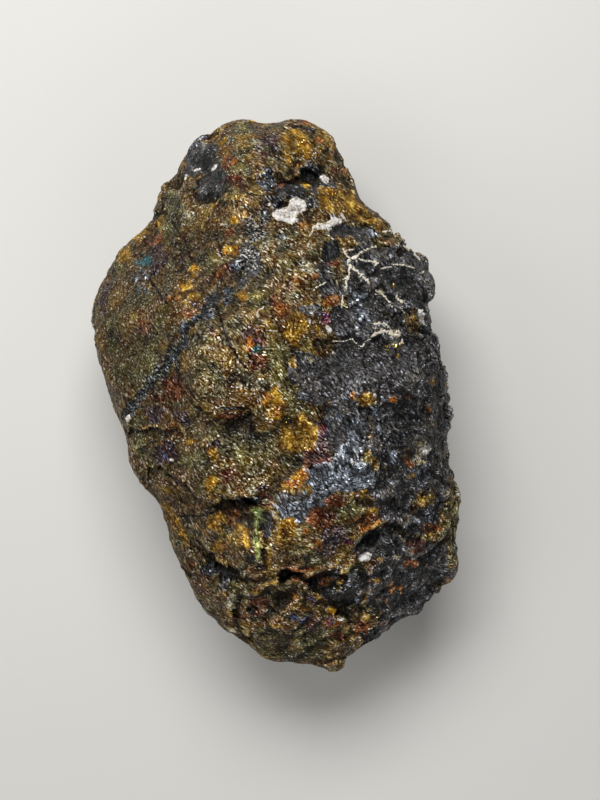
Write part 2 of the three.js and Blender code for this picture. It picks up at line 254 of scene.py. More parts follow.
            (12.4, -33.5, 3, 2.6, 0.9), (-3, -28.8, 2, 1.4, 0.85), (-12.5, -22.6, 3.4, 2.6, 0.55),
            (-19, -50.5, 3.2, 3, 0.55), (-24, -46, 3, 2, 0.45), (42, -36.4, 3, 1, 0.85),
            (38, -41, 2.8, 2, 0.7), (38, -47, 4, 2.6, 0.6), (11, -51, 4.6, 2, 0.65),
            (5, -47.8, 4, 0.8, 0.85), (16.6, -65.6, 2.4, 1.4, 1), (23, -63, 3, 2.4, 0.85),
            (-5, -57, 2.6, 2.4, 0.7), (-7, -60.5, 5, 0.8, 0.7), (28, -62, 4, 2, 0.3)],
        "back": [(-26, -30, 12, 12, 0.5), (20, 10, 10, 14, 0.35)],
    },
    "rainbow": {  # thin bornite tarnish, from blue to magenta
        "everywhere": 0.01, "soft": 0.26,
        "face": [
            (-5.5, 13.2, 1.2, 1.6, 0.7), (-3.4, 14, 1, 2, 0.6), (13.5, 20, 1.1, 1.8, 0.85),
            (8.4, -57.4, 3.4, 2.8, 0.42), (14.5, -61.5, 2.4, 1.6, 0.6), (10.5, -62.6, 2.4, 1.6, 0.4),
            (6.5, -60.5, 2, 2, 0.5), (20, -40.2, 1.7, 1.1, 1), (12.6, -10, 1.4, 1.6, 0.4),
            (-29.6, -17, 1.6, 2, 0.28), (40, -39.6, 2.4, 1.2, 0.6)],
        "back": [(10, -12, 9, 6, 0.4, 20), (-24, 34, 6, 5, 0.35)],
    },
    "teal": {  # covellite
        "everywhere": 0.01, "soft": 0.25,
        "face": [
            (-36, 36, 2.6, 2, 0.55, -20), (-36.4, 31, 2, 3.6, 0.35), (-35, 35.1, 0.7, 0.5, 1),
            (-12.4, 68.6, 0.8, 1.2, 0.55), (-5.6, 12, 0.6, 0.5, 1), (2.7, -51, 0.8, 0.7, 0.95)],
        "back": [(-6, 24, 4, 3, 0.6)],
    },
    "green": {  # a strip of copper green in the crevice
        "everywhere": 0, "soft": 0.1,
        "face": [(-4.9, -33.4, 1.7, 2.2, 1), (-5.5, -38, 1.2, 3.6, 1), (-5, -42.6, 0.9, 2.2, 1)],
        "back": [(-2, -34, 1.5, 6, 1, 10)],
    },
    # soot-black sulphide in places, and black painted as the shade in pits, holes and under ledges
    "blackAndPitShade": {  # soot-black sulphide in the gaps
        "everywhere": 0.02, "soft": 0.1,
        "face": [
            (-20.4, 64, 4.8, 5, 0.8), (-18, 57, 4, 4.4, 0.75), (9, 60.3, 3, 1.7, 0.75),
            (4.6, 55.4, 2.8, 2, 1), (0.6, 52, 1.9, 1.8, 1), (-6.8, 34.8, 2.2, 2.6, 1),
            (-8.4, 30.6, 1.2, 1.2, 0.9), (-4, 45, 1.4, 0.7, 0.95), (-9.2, 37, 0.8, 1.5, 0.7),
            (14.7, 38.7, 2, 2.5, 1), (34, -8, 5.6, 4.4, 0.9), (30, -13, 3, 3, 0.6),
            (21.4, -17.6, 2.4, 0.8, 0.95), (9.6, -19.2, 1.6, 0.5, 0.95), (42, 8, 4, 15, 0.6),
            (33, 33.5, 5, 1.6, 0.6, -15), (24, 37.6, 1.6, 0.8, 0.95), (36, 27, 5, 6, 0.35),
            (28.6, -41.2, 6, 3.2, 0.4), (36, -52, 10, 6, 0.6, 30), (17.5, -54.5, 4.4, 3, 0.8),
            (3.6, -49.3, 4.4, 0.7, 0.9, -4), (12, -52, 4, 1.6, 0.5, -10), (-17.6, -47.3, 2.6, 1.2, 1),
            (-7.2, -59.2, 1, 0.6, 1), (28, -65, 7, 3, 0.7, 35), (-9, -29, 4, 0.8, 1),
            (-2.2, -36, 0.6, 2.5, 0.7), (-37, 37.6, 0.8, 0.6, 0.85)],
        "back": [(24, -6, 9, 6, 0.6)],
    },
    "buff": {  # pale crumbs of carbonate
        "everywhere": 0.01, "soft": 0.12, "shade": "grain",
        "face": [
            (-2.9, 39.2, 2, 2, 0.9), (-4.2, 36.3, 1.4, 0.8, 0.8), (8.4, 37.5, 2.4, 3.6, 0.45),
            (3, 43, 2.6, 1.4, 0.6), (3.2, 45.4, 1.7, 1.2, 0.6), (-24, 50.5, 2.2, 4.6, 0.45),
            (-26, 55, 2, 2, 0.5), (-6, 55.5, 2.5, 2, 0.3), (-5.8, 68.3, 1, 1, 0.8),
            (30.2, 17.3, 4.6, 0.9, 0.9, -6), (32.3, 16.2, 1.8, 1, 0.8), (28, 27.5, 1.8, 0.9, 0.6),
            (-4, 3, 1.8, 1.8, 0.85), (-6.6, 5.2, 2.4, 0.9, 0.75, -35), (-9.7, 9.6, 0.4, 1.4, 0.9),
            (1.5, 10.6, 1.4, 0.8, 0.7), (9.5, 9.2, 1.2, 0.4, 0.3, -20), (25, -1.4, 1.6, 1, 0.6),
            (39, -14.5, 3.2, 3.6, 0.5), (37, -29.2, 1.3, 0.7, 0.9), (-7, -25.7, 1.3, 1.1, 0.9),
            (-2.6, -29, 1.1, 0.7, 0.9), (-18.6, -8.4, 1.3, 2, 0.55), (-16, -7.4, 2, 0.5, 0.85, 8),
            (-20.3, -11.6, 1, 0.4, 0.9, -30), (-27, 14.2, 0.7, 0.7, 0.8), (-28.9, 10.8, 0.5, 0.8, 0.8),
            (-11.5, -56, 1.2, 2.3, 0.8), (-11.5, -63.2, 1.3, 0.8, 0.85), (32.5, -43.5, 2, 1.4, 0.45),
            (10, -44.6, 3, 1.2, 0.45, -30), (14.5, -46, 1.2, 0.7, 0.8), (10.8, -38.5, 0.6, 0.4, 0.9),
            (17.5, -60.8, 1.2, 0.5, 0.7, -40)],
        "back": [(-12, 4, 9, 4, 0.5, 30)],
    },
    "speckle": {  # salt and pepper: sulphide and quartz grains
        "everywhere": 0, "soft": 0.1, "shade": "grain",
        "face": [
            (-7, 46, 2.6, 3, 0.9), (-3.4, 48, 2.2, 3, 0.8), (-7.8, 38, 2.2, 4.6, 0.95),
            (-5.5, 43.5, 3, 2, 0.85), (-7, 37.8, 2.4, 1.4, 0.8), (-2.6, 58, 2.4, 3, 0.45),
            (-2, 53, 2.4, 1.8, 0.4), (2.1, 42.8, 1.8, 1, 0.6), (0, 61, 2, 1, 0.4), (9, 52, 1.6, 2, 0.5),
            (5, 58, 4, 1.6, 0.3), (-4, 33.4, 2.4, 2.4, 0.3), (39, -14.5, 3.2, 3.6, 0.4),
            (38, -22, 2, 3, 0.4)],
        "back": [(-6, 10, 8, 12, 0.5, -30)],
    },
    "quartz": {
        "everywhere": 0, "soft": 0.1, "torn": 0.6, "shade": "grain",
        "face": [
            (5.2, 50.8, 2.9, 2.2, 1), (1.1, 48.7, 2.2, 1.6, 1), (3.5, 49.4, 2.7, 2, 1),
            (4.2, 47.4, 2, 0.9, 0.9), (13.1, 58.4, 1.7, 1, 0.75, -40), (11.6, 45.3, 1.8, 0.8, 1, 8),
            (13.4, 45.2, 1.4, 1.1, 1), (15.1, 46.6, 1.8, 1, 1, 35), (16.9, 46.8, 1.1, 0.7, 0.9),
            (18, 48.1, 0.4, 0.6, 0.9), (-1.5, 51.6, 0.5, 0.8, 0.8), (-17.3, 61, 1.1, 0.5, 1, 40),
            (-21.4, 60.7, 1, 0.6, 0.7), (-25.3, 58.5, 0.8, 1.2, 0.95, -20), (24.6, -44.2, 1.7, 1, 1),
            (-40, -6.6, 0.8, 1, 1), (-28.3, -17.8, 0.7, 0.4, 1, 10), (40.2, -15.8, 1.4, 1.5, 0.35),
            (39.2, 21, 2.1, 0.45, 1, -71), (9, 19, 0.9, 1, 0.8), (14.2, 17.3, 0.9, 1.2, 0.8),
            (34.7, 14.5, 0.5, 0.8, 0.8), (26.5, -0.3, 0.8, 0.8, 0.7), (20.8, -18.3, 0.9, 0.4, 0.9)],
        "back": [(-12, 4, 6, 2.6, 0.9, 30), (14, 34, 2.6, 1.8, 0.9)],
    },
}
mineralEdges = {
    "soft": 0.3,  # share of a spot's reach over which it fades
    "tearWaves": (6.5, 2.2), "tearReach": 3,  # mm: how the edges of spots wander
    "tearShares": (0.65, 0.5), "torn": 0.8,  # of the reach, and the most that a small spot is torn
    "cloudWave": 11, "cloudShift": 40,  # mm
    "cloudSwing": 1.8, "cloudMost": 3,
    "keptOff": 1,  # how far the dark ore keeps the other minerals' clouds off
}

# Veins and hairline cracks, in mm. Each line is half a width and a path.
lines = {
    "vein": {
        "wander": 0.9, "uneven": 0.85,
        "face": [
            (1.15, [(-40.8, -5.2), (-39.2, -3.2), (-37.4, -1), (-35.2, 1.2), (-33.2, 3.4), (-31.2, 5.6)]),
            (1.45, [(-31.2, 5.6), (-29.8, 7.8), (-28.2, 10.4), (-26.6, 12.6)]),
            (0.95, [(-26.6, 12.6), (-25, 15.2), (-23.9, 17.8), (-22, 20), (-20.2, 21.4), (-18.8, 23.6),
                    (-17.6, 25.6)])],
        "back": [(1, [(-34, -6), (-20, 2), (-4, 6), (10, 16), (26, 20)])]},
    "crack": {
        "wander": 0.3, "uneven": 0.3,
        "face": [
            (0.34, [(-16.4, 24.2), (-15, 20.6), (-13.9, 16.4), (-12.6, 13), (-10.6, 10.6), (-9.6, 8.6),
                    (-7.6, 6.6)]),
            (0.3, [(-34.2, 31), (-32.6, 28.6), (-31, 26.2), (-29.8, 24.6)]),
            (0.26, [(-24.8, 41.5), (-23.8, 39), (-23.2, 36.6)]),
            (0.26, [(-16.4, 42.8), (-15.2, 39.6), (-14.4, 36.6)]),
            (0.26, [(-6.8, -7.6), (-7.1, -12), (-7, -16.4)]),
            (0.26, [(-6.2, -5.2), (-8.6, -6.8)]),
            (0.3, [(-24, -33), (-22, -33.2), (-19, -32.6), (-16.8, -32.2)]),
            (0.3, [(0.6, -7), (3.8, -7.4)]),
            (0.34, [(-14.2, -3.9), (-10.5, -3.7), (-7.6, -4)]),
            (0.26, [(-37, -15), (-34.6, -13.8), (-33.4, -12.8)]),
            (0.24, [(5, -9.6), (5.3, -12), (5, -15)]),
            (0.28, [(4, 72.8), (6.5, 72.6), (9, 71.9), (10.6, 71)]),
            (0.26, [(-30, -21.9), (-27, -23.6), (-24.6, -24.2)]),
            (0.3, [(-25, 3.6), (-23.4, 0.8), (-21.4, -2)])],
        "back": [(0.3, [(-30, 30), (-16, 22), (-4, 26), (10, 22)]),
                 (0.25, [(-10, -50), (0, -38), (2, -20)])]},
}
lineReach = 5  # a line is only felt within this many half widths

# Breaks in the face, in mm. A ledge is (drop, reach, path) and falls on the right of its path, a crack is
# (depth, half width, path), and a pit is a spot with a depth for its share.
breaks = {
    "ledge": [
        (0.8, 2.2, [(-29.4, 7), (-27, 5.4), (-25, 3.8), (-23.2, 0.8), (-21.3, -2), (-19, -3.9), (-16, -5.4),
                   (-12.5, -6.6), (-9.5, -6.8), (-7.5, -5.4), (-5.2, -4), (-4.2, -1.6)]),
        (1.4, 3.5, [(-40, -9.2), (-36.9, -9.6), (-33.6, -9.4), (-31.7, -9.2), (-28.2, -8.9), (-25.5, -8.6)]),
        (1.4, 4, [(-34, -19.5), (-30, -23), (-26, -26), (-22, -28.4), (-19, -30)]),
        (2.4, 3, [(-17, -31.4), (-14.8, -29.8), (-12.5, -28.3), (-9, -28), (-6, -28.4), (-4.6, -29.6)]),
        (2.4, 4, [(-22, -37.5), (-20, -41.5), (-18, -44.6), (-15, -46.6), (-12, -47.4), (-8.5, -48.8),
                  (-5, -50.2)]),
        (2.6, 4, [(-2, -50.4), (-0.4, -49.2), (2, -48.6), (6, -48.5), (9, -49.2), (12, -49.6), (15, -48.6),
                  (18, -48.6), (21, -50)]),
        (1.8, 4, [(20.6, -43.5), (22, -41), (24.6, -39.2), (28, -37.8), (33, -37.4), (36, -37.6),
                  (41, -38)]),
        (0.9, 5, [(9, 11), (12.4, 14), (16, 14.8), (20.4, 14.9), (24, 14.2), (29, 15.4), (34, 15)]),
        (0.8, 4, [(8, -2.4), (14, -4.4), (19, -6), (24, -3.6), (30, -3.2), (36, -3.4), (41, -5.2)]),
        (1, 4, [(8.6, -18.8), (12, -19.4), (16, -18.6), (20, -18.6), (24, -19.4), (28, -18.4), (33, -19)]),
        (1, 3, [(26, 27.6), (29.6, 26.2), (31.6, 26), (34.8, 24.6)]),
        (1.1, 3, [(20, -28.2), (24, -27.6), (28, -28), (34, -31.6), (41, -34)]),
        (0.8, 3, [(-23, 56.5), (-21, 53.6), (-18, 52.4), (-15.4, 53.2)]),
        (1.4, 3, [(-1, 60.6), (2.6, 59.6), (4.8, 60.4), (7, 62), (10, 62.2), (13, 60.8), (16, 59.6)]),
        (1.6, 4, [(21.4, -66.4), (18.4, -61.4), (14.4, -57.6), (10.4, -54), (7, -53), (3.6, -51.8),
                  (-1.8, -51.2), (-5.5, -52.4), (-8.2, -54.5)]),
    ],
    "crack": [
        (1.6, 0.7, [(-4, -30.6), (-3.7, -33.6), (-3.6, -37), (-4, -40), (-4.1, -43.6), (-3.7, -47),
                    (-3.4, -50)]),
        (2.2, 0.9, [(-9.8, -53.5), (-10.2, -58.5), (-9.6, -62.6), (-8.8, -66)]),
    ],
    "pit": [
        (-8.2, -29.1, 3.6, 0.9, 3.8, -4), (-12.4, -28.8, 1.8, 0.5, 2, 10), (9, 60.2, 3.6, 1.7, 1.2),
        (5, 55.4, 2.4, 1.4, 2.2, -10), (0.6, 52.2, 1.5, 1.2, 1.6), (14.7, 38.7, 2, 2.6, 0.9, 15),
        (17.6, 46.6, 0.8, 0.6, 1.2), (3.6, -49.4, 4.6, 0.6, 0.6, -4), (17.5, -54.8, 3.4, 1.8, 1.5, -10),
        (28.4, -41.4, 5.6, 3, 1.1), (-7.2, -59.2, 1.2, 0.7, 1.4), (-17.4, -47.4, 2.6, 1.1, 1.8, -5)],
    # spots where the rim is bitten this deep, or stands out where it is below 0
    "bite": [
        (-28, 58, 4, 5, 1.8, 45), (-18.6, 70.4, 2.6, 2, 1.2, 40), (-23, 67, 3, 2.6, -0.5, 50),
        (-32.6, 48.4, 2.4, 1.6, 1), (-1.6, 73.8, 2.6, 1.4, 0.8), (14.4, 73, 1.8, 1.6, 0.7, -50),
        (17.4, -74, 3, 2.4, -1.4), (24, -72, 3, 2, 1.2, 35), (-38, 41.6, 1.8, 1.4, -0.7, 35),
        (-45.4, 33, 1.8, 2.2, 0.6, 60), (41.4, 36.4, 1.6, 2, 0.7), (20.6, 57, 1.4, 1.6, 0.6),
        (45.4, -3, 1.6, 2.4, -0.7), (42.6, 9.6, 1.4, 2, 0.6), (-38.4, -16, 2, 1.6, 0.7),
        (-16.5, -57, 14, 7, -1.3, -55), (-9.5, -66.8, 3, 2.4, 2.2), (-26, -41, 7, 5, -0.6, -65),
        (46.6, -44, 1.6, 3, -0.6), (44, -52, 2.4, 2, 0.9, 50), (34, -64.6, 2.6, 1.8, 0.8, 35),
        (19, 66.2, 3, 5, 1.7, -18), (38, 40.4, 4.5, 3, 2, -42)],
}

# how the breaks end, as shares of a spot's or a path's reach unless a note says otherwise
breakEdges = {
    "ledgeRun": 0.4, "lipReach": 3,  # mm
    "ledgeEnds": 0.15, "crackEnds": 0.2, "lip": 0.12,
    "pit": (1.1, 0.35), "spot": (1.3, 0.4), "roughness": (1.2, 0.7),
    "veinDepth": 0.25, "veinSides": (1.2, 0.4),  # mm, and half widths
    "quartzRise": 0.5, "quartzFrom": (0.3, 0.9),  # mm, and shares of the grains
    "face": (-0.15, 0.25),  # relief starts and is full at these slopes
}

brokenGround = {
    "seed": 3,  # the noise vectors differ from run to run without it
    "warpWaves": (14, 3.5), "warpReaches": (2.2, 0.5),  # mm: bends every pattern below
    "step": {"wave": 8.5, "height": 0.5, "bend": 1.1, "bendWave": 15, "fall": 0.1,
             "sideBend": 0.3, "usual": 0.6, "swing": 1.5, "most": 1.4},  # ledges that all face the foot
    "swell": {"wave": 9, "height": 0.22, "middle": 0.8,
              "ridges": (1.0, 2.1, 3, 1.0, 2.0)},  # fall-off, spacing, octaves, offset and gain
    # flat little breaks: size in mm; slope, step and groove between neighbours as shares of the size
    "facets": [
        {"size": 7.5, "slope": 0.095, "step": 0.03, "groove": 0.03},
        {"size": 3.6, "slope": 0.085, "step": 0.025, "groove": 0.025},
        {"size": 1.8, "slope": 0.085, "step": 0.02, "groove": 0.025},
    ],
    "shard": 4, "shardPull": 0.5,  # mm: ledges break along shards of this size
    "edge": 0.16, "grooveWidth": 0.1,  # how much of a facet its rounded edge and its groove take
    "steeper": 0.5,  # how much rougher upright sides are
    "hollowRounds": {"crease": 2, "hollow": 30},
    "foliation": -38, "stretch": 1.7,  # the bronze ore is drawn out along this direction, in degrees
    # how rough it is, and spots with their own roughness
    "calm": 0.55,
    "rugged": [(36, 0, 18, 70, 1.15), (20, -58, 30, 18, 1.1), (4, 56, 14, 10, 0.65)],
    "smooth": [
        (-38, 18, 14, 22, 0.3), (20, 6, 14, 9, 0.3), (17, -23, 10, 5, 0.3), (4, -31, 6, 4, 0.3),
        (-7, 66, 13, 8, 0.4), (-14, -18, 13, 9, 0.4)],
    "flatSpot": 0.4,  # mm: under this height the lump is the spot that it stands on
}


def smoothStep(low, high, value):
    share = np.clip((value - low) / (high - low), 0, 1)
    return share * share * (3 - 2 * share)


# how far points are from the middle of a spot, where its rim is 1
def spotDistance(points, spot, surface):
    x, y, reachX, reachY = spot[:4]
    angle = math.radians(spot[5] if len(spot) > 5 else 0)
    dx, dy = points[:, 0] - x, points[:, 1] - y
    along = (dx * math.cos(angle) + dy * math.sin(angle)) / reachX
    across = (dy * math.cos(angle) - dx * math.sin(angle)) / reachY
    nearest = surface[np.argmin((points[surface, 0] - x) ** 2 + (points[surface, 1] - y) ** 2)]
    deep = (points[:, 2] - points[nearest, 2]) / (0.8 * max(reachX, reachY) + 4)
    return np.sqrt(along ** 2 + across ** 2 + deep ** 2)


# distance to a path, the side of it (+1 is right), and the share along it
def nearestOnPath(points, path):
    distance = np.full(len(points), 1e9)
    side = np.zeros(len(points))
    along = np.zeros(len(points))
    for i, (start, end) in enumerate(zip(path, path[1:])):
        sx, sy = end[0] - start[0], end[1] - start[1]
        dx, dy = points[:, 0] - start[0], points[:, 1] - start[1]
        share = np.clip((dx * sx + dy * sy) / (sx * sx + sy * sy), 0, 1)
        ox, oy = dx - share * sx, dy - share * sy
        reach = np.hypot(ox, oy)
        nearer = reach < distance
        distance[nearer] = reach[nearer]
        side[nearer] = np.sign(sy * ox - sx * oy)[nearer]
        along[nearer] = ((i + share) / (len(path) - 1))[nearer]
    return distance, side, along


# where the camera sees each point, on the level of the rim
def asSeen(points):
    camera = np.array(studio["cameraAt"])
    seen = points.copy()
    nearer = (camera[2] - studio["rimHeight"]) / (camera[2] - points[:, 2])
    seen[:, :2] = camera[:2] + (points[:, :2] - camera[:2]) * nearer[:, None]
    return seen


def noiseVectors(points, wave):
    return np.array([noise.noise_vector(Vector(place)) for place in points / wave])


# share of the grains that are this mineral, at each vertex
def mineralShare(points, mineral, tear, cloudiness, tops, bottoms):
    edges = mineralEdges
    share = mineral["everywhere"] * np.clip(cloudiness, 0, edges["cloudMost"])
    for surface, spots in ((tops, mineral["face"]), (bottoms, mineral["back"])):
        for spot in spots:
            torn = min(edges["tearReach"] / min(spot[2:4]), mineral.get("torn", edges["torn"]))
            away = spotDistance(points, spot, surface) + tear * torn
            share = np.maximum(share, spot[4] * smoothStep(1 + edges["soft"], 1 - edges["soft"], away))
    return share


# signed distance to the nearest line, in half widths, so that its middle stays sharp between vertices
def lineField(points, groups, isTop):
    best = np.full(len(points), 99.0)
    for onFace, group in ((isTop, groups["face"]), (~isTop, groups["back"])):
        for halfWidth, path in group:
            distance, side = nearestOnPath(points, path)[:2]
            signed = np.where(side < 0, -distance, distance) / halfWidth
            nearer = onFace & (np.abs(signed) < np.abs(best)) & (np.abs(signed) < lineReach)
            best[nearer] = signed[nearer]
    return best


def facetHeight(place, facet):
    # a plane of its own for each Voronoi cell, joined to its neighbour's over a short, grooved edge
    spot = place / facet["size"]
    distances, seeds = noise.voronoi(spot)
    planes = []
    for seed in seeds[:2]:  # the factors only keep lean and step from going together
        lean = noise.cell_vector(seed * 13.7) - Vector((0.5, 0.5, 0.5))
        step = facet["step"] * (noise.cell(seed * 7.1) - 0.5)
        planes.append(2 * facet["slope"] * lean.dot(spot - seed) + 2 * step)
    gap = distances[1] - distances[0]
    share = min(gap / brokenGround["edge"], 1)
    share = share * share * (3 - 2 * share)
    groove = facet["groove"] * math.exp(-(gap / brokenGround["grooveWidth"]) ** 2)
    return facet["size"] * ((planes[0] * (1 + share) + planes[1] * (1 - share)) / 2 - groove)


def stepHeight(place):
    # climbs slowly and falls suddenly, always towards the foot
    step = brokenGround["step"]
    bend = noise.noise_vector(place / step["bendWave"])
    turn = -place.y / step["wave"] + step["bend"] * bend.x * 2 + step["sideBend"] * bend.y
    share = turn - math.floor(turn)
    fall = 1 - step["fall"]
    rise = share / fall if share < fall else (1 - share) / step["fall"]
    return step["height"] * (rise - 0.5) * min(max(step["usual"] + step["swing"] * bend.z, 0), step["most"])


def groundHeight(bent, isDark):
    ground = brokenGround
    turn = Matrix.Rotation(math.radians(ground["foliation"]), 3, "Z")
    height = np.zeros(len(bent))
    for i, point in enumerate(bent):
        place = turn @ Vector(point)
        place.x /= ground["stretch"] + (1 - ground["stretch"]) * isDark[i]
        swell = noise.ridged_multi_fractal(place / ground["swell"]["wave"], *ground["swell"]["ridges"])
        swell -= ground["swell"]["middle"]
        height[i] = ground["swell"]["height"] * swell + stepHeight(Vector(point))
        for facet in ground["facets"]:
            height[i] += facetHeight(place, facet)
    return height


def ruggedness(points, surface):
    ground = brokenGround
    rugged = np.full(len(points), ground["calm"])
    for spot in ground["rugged"]:
        share = smoothStep(*breakEdges["roughness"], spotDistance(points, spot, surface))
        rugged += (spot[4] - ground["calm"]) * share * (rugged < spot[4])
    for spot in ground["smooth"]:
        share = smoothStep(*breakEdges["roughness"], spotDistance(points, spot, surface))
        rugged *= 1 - share * (1 - spot[4])
    return rugged


def faceRelief(points, surface):
    edges = breakEdges
    relief = np.zeros(len(points))
    for drop, reach, path in breaks["ledge"]:
        distance, side, along = nearestOnPath(points, path)
        fall = smoothStep(-edges["ledgeRun"], edges["ledgeRun"], side * distance)
        ends = smoothStep(0, edges["ledgeEnds"], along) * smoothStep(0, edges["ledgeEnds"], 1 - along)
        relief -= drop * fall * ends * np.exp(-(distance / reach) ** 2)
        relief += edges["lip"] * drop * (1 - fall) * ends * np.exp(-(distance / edges["lipReach"]) ** 2)
    for depth, halfWidth, path in breaks["crack"]:
        distance, _, along = nearestOnPath(points, path)
        ends = smoothStep(0, edges["crackEnds"], along) * smoothStep(0, edges["crackEnds"], 1 - along)
        relief -= depth * ends * np.exp(-(distance / halfWidth) ** 2)
    for pit in breaks["pit"]:
        relief -= pit[4] * smoothStep(*edges["pit"], spotDistance(points, pit, surface))
    return relief


def sumOfSpots(points, spots, surface):
    edge = breakEdges["spot"]
    return sum(spot[4] * smoothStep(*edge, spotDistance(points, spot, surface)) for spot in spots)


def makeSurface(node):
    # a merged copy of the solid, divided until its faces are about 0.7 mm wide
    mesh = node.data.copy()
    bm = bmesh.new()
    bm.from_mesh(mesh)
    bmesh.ops.remove_doubles(bm, verts=bm.verts, dist=0.01 * mm)
    for face in bm.faces:
        face.smooth = False
    bm.to_mesh(mesh)
    bm.free()
    rough = bpy.data.objects.new("rough", mesh)
    bpy.context.scene.collection.objects.link(rough)
    divide = rough.modifiers.new("divide", "SUBSURF")
    divide.levels = divide.render_levels = 2
    graph = bpy.context.evaluated_depsgraph_get()
    fine = bpy.data.meshes.new_from_object(rough.evaluated_get(graph))
    fine.name = "ore_surface"
    bpy.data.objects.remove(rough)
    print("surface divided:", len(fine.polygons), "faces")
    return fine


def readArray(mesh, what):
    values = np.empty(len(mesh.vertices) * 3)
    mesh.vertices.foreach_get(what, values)
    return values.reshape(-1, 3)


def storeField(mesh, name, values):
    layer = mesh.attributes.new(name, "FLOAT", "POINT")
    layer.data.foreach_set("value", values.astype(np.float32))


# how deep each vertex lies under its surroundings, in mm: more rounds look further around
def hollowness(mesh, rounds):
    points, normals = readArray(mesh, "co") / mm, readArray(mesh, "normal")
    ends = np.empty(len(mesh.edges) * 2, dtype=np.int32)
    mesh.edges.foreach_get("vertices", ends)
    first, second = ends[::2], ends[1::2]
    count = np.bincount(first, minlength=len(points)) + np.bincount(second, minlength=len(points))
    smooth = points.copy()
    for _ in range(rounds):
        total = [np.bincount(first, smooth[second, axis], len(points)) +
                 np.bincount(second, smooth[first, axis], len(points)) for axis in range(3)]
        smooth = np.array(total).T / count[:, None]
    return ((smooth - points) * normals).sum(axis=1)


# the share of every mineral and the lines, at each vertex
def placeMinerals(points, seen, normals, tops, bottoms):
    edges = mineralEdges
    wide, narrow = [noiseVectors(points, wave) for wave in edges["tearWaves"]]
    clouds = noiseVectors(points + edges["cloudShift"], edges["cloudWave"])
    fields = {}
    for i, (name, mineral) in enumerate(minerals.items()):
        tear = edges["tearShares"][0] * wide[:, i % 3] + edges["tearShares"][1] * narrow[:, (i + i // 3) % 3]
        cloudiness = 1 + edges["cloudSwing"] * (clouds[:, i % 3] * (1 if i < 3 else -1))
        if "dark" in fields:
            cloudiness *= 1 - edges["keptOff"] * fields["dark"]
        fields[name] = mineralShare(seen, mineral, tear, cloudiness, tops, bottoms)
    for name, groups in lines.items():
        uneven = 1 + groups["uneven"] * narrow[:, 2]
        fields[name] = uneven * lineField(seen + groups["wander"] * narrow, groups, normals[:, 2] > 0)
    print("minerals placed")
    return fields


# where each vertex goes: ledges and pits in the face, bites in the rim, and a foot that stays flat
def cutRelief(points, normals, bent, height, fields, tops):
    ground, edges = brokenGround, breakEdges
    size = ground["shard"]
    shards = np.array([noise.voronoi(Vector(point) / size)[1][0] for point in bent]) * size
    torn = asSeen(bent + ground["shardPull"] * (shards - bent))
    relief = faceRelief(torn, tops)
    relief -= edges["veinDepth"] * smoothStep(*edges["veinSides"], np.abs(fields["vein"]))
    relief += edges["quartzRise"] * smoothStep(*edges["quartzFrom"], fields["quartz"])
    moved = points + normals * (height - sumOfSpots(torn, breaks["bite"], tops))[:, None]
    moved[:, 2] += relief * smoothStep(*edges["face"], normals[:, 2])
    isStanding = points[:, 2] < ground["flatSpot"]
    moved[isStanding] = points[isStanding]
    moved[:, 2] = np.maximum(moved[:, 2], 0)
    return moved


def shapeSurface(mesh):
    ground = brokenGround
    noise.seed_set(ground["seed"])
    points, normals = readArray(mesh, "co") / mm, readArray(mesh, "normal")
    tops, bottoms = np.flatnonzero(normals[:, 2] > 0.1), np.flatnonzero(normals[:, 2] < -0.1)
    seen = asSeen(points)
    bent = points.copy()
    for wave, reach in zip(ground["warpWaves"], ground["warpReaches"]):
        bent += reach * noiseVectors(points, wave)
    fields = placeMinerals(points, seen, normals, tops, bottoms)
    sides = 1 + ground["steeper"] - ground["steeper"] * np.abs(normals[:, 2])
    height = groundHeight(bent, fields["dark"]) * ruggedness(seen, tops) * sides
    print("ground broken")
    moved = cutRelief(points, normals, bent, height, fields, tops)
    mesh.vertices.foreach_set("co", (moved * mm).ravel())
    mesh.update()
    for name, rounds in ground["hollowRounds"].items():
        fields[name] = hollowness(mesh, rounds)
    for name, values in fields.items():
        storeField(mesh, name, values)
    print("relief cut")
